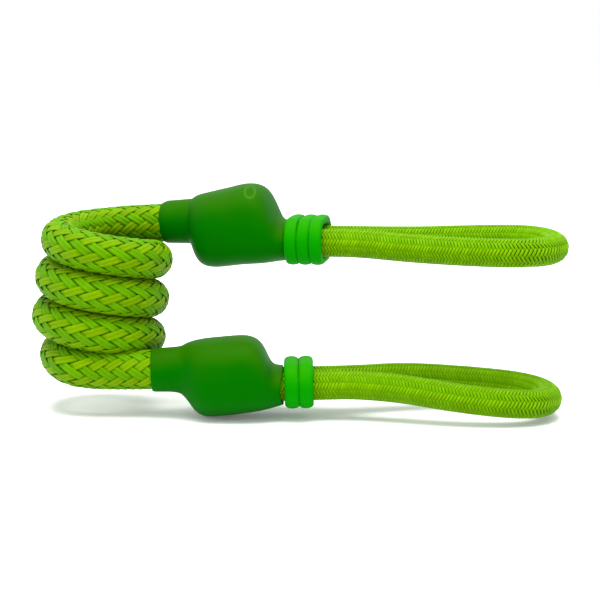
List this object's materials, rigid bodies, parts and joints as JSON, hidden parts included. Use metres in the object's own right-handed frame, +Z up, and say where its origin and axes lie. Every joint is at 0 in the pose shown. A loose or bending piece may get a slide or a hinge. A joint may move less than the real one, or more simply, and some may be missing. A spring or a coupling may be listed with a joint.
{
  "type": "coiled rope tether",
  "caption": "Short spring-coiled braided rope tether with a lumpy moulded rubber boot and an elastic hand-sized loop on each end, the loop necks gripped by rubber rings.",
  "frame": {"origin": "on the table, under the middle of the whole tether's box", "axes": "+Z up along the coil's axis, +X from the coil towards the loops (the longest way), +Y across, away from the lower loop's side"},
  "size_m": [0.153, 0.0496, 0.0624],
  "materials": {
    "rope_sheath": "braided polyester yarn, lime green",
    "rope_core": "heat-set polyamide core, off-white",
    "boot_rubber": "moulded soft rubber, dark green, satin",
    "ring_rubber": "moulded rubber, bright green, satin",
    "loop_cover": "fine braided cover, lime green",
    "loop_core": "bundled rubber strands, natural",
    "clamp_nylon": "moulded nylon, black, matt",
    "fastener_steel": "zinc-plated steel",
    "crimp_metal": "annealed aluminium, plain"
  },
  "bodies": {
    "lower_end": {"coil": "rope_sheath", "lower_boot": "boot_rubber", "lower_clamp_back": "clamp_nylon", "lower_clamp_front": "clamp_nylon", "lower_clamp_nuts": "fastener_steel", "lower_clamp_screws": "fastener_steel", "lower_loop_core": "loop_core", "lower_loop_cover": "loop_cover", "lower_loop_crimp": "crimp_metal", "lower_rope_core": "rope_core", "lower_rope_crimp": "crimp_metal", "lower_rope_sheath": "rope_sheath"},
    "upper_end": {"upper_boot": "boot_rubber", "upper_clamp_back": "clamp_nylon", "upper_clamp_front": "clamp_nylon", "upper_clamp_nuts": "fastener_steel", "upper_clamp_screws": "fastener_steel", "upper_loop_core": "loop_core", "upper_loop_cover": "loop_cover", "upper_loop_crimp": "crimp_metal", "upper_rope_core": "rope_core", "upper_rope_crimp": "crimp_metal", "upper_rope_sheath": "rope_sheath"},
    "lower_rings": {"lower_ring_1": "ring_rubber", "lower_ring_2": "ring_rubber"},
    "upper_rings": {"upper_ring_1": "ring_rubber", "upper_ring_2": "ring_rubber", "upper_ring_3": "ring_rubber"}
  },
  "joints": [
    {"name": "coil_stretch", "type": "slide", "parent": "lower_end", "child": "upper_end", "axis": [0, 0, 1], "range_m": [0, 0.12], "stiffness_N_per_m": 80, "deforming": ["coil"]},
    {"name": "upper_rings_slide", "type": "slide", "parent": "upper_end", "child": "upper_rings", "axis": [0.9848, -0.1736, 0.0087], "range_m": [0, 0.008]},
    {"name": "lower_rings_slide", "type": "slide", "parent": "lower_end", "child": "lower_rings", "axis": [0.9997, 0, 0.0262], "range_m": [0, 0.011]}
  ]
}
